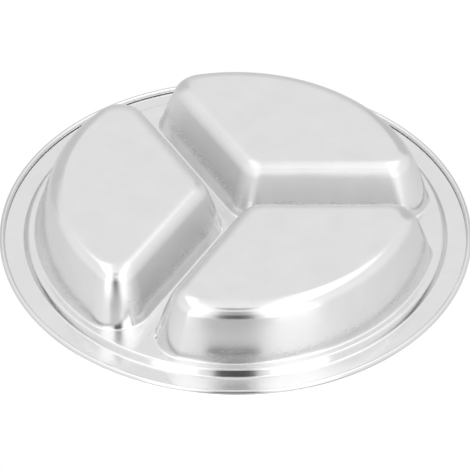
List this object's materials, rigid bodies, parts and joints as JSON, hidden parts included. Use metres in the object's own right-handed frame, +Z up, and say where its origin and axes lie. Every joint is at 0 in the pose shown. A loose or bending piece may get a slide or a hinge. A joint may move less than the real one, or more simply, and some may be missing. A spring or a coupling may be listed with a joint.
{
  "type": "divided compartment plate",
  "caption": "Round pressed stainless plate with deep wedge-shaped pans kept apart by narrow webs, a stepped flat flange and a rolled rim; serves separate foods on one plate.",
  "frame": {"origin": "on the plate's axis, level with the underside of the pan floors, which it stands on", "axes": "+Z up along the plate's axis, out of the open pans; +X along one web, so the pans point to 60, 180 and 300 degrees"},
  "size_m": [0.26, 0.26, 0.0355],
  "materials": {
    "stainless_sheet": "satin-polished pressed stainless sheet"
  },
  "bodies": {
    "root": {"left_pan": "stainless_sheet", "rear_pan": "stainless_sheet", "front_pan": "stainless_sheet", "divider_web": "stainless_sheet", "stepped_flange": "stainless_sheet", "rolled_rim": "stainless_sheet"}
  },
  "joints": []
}
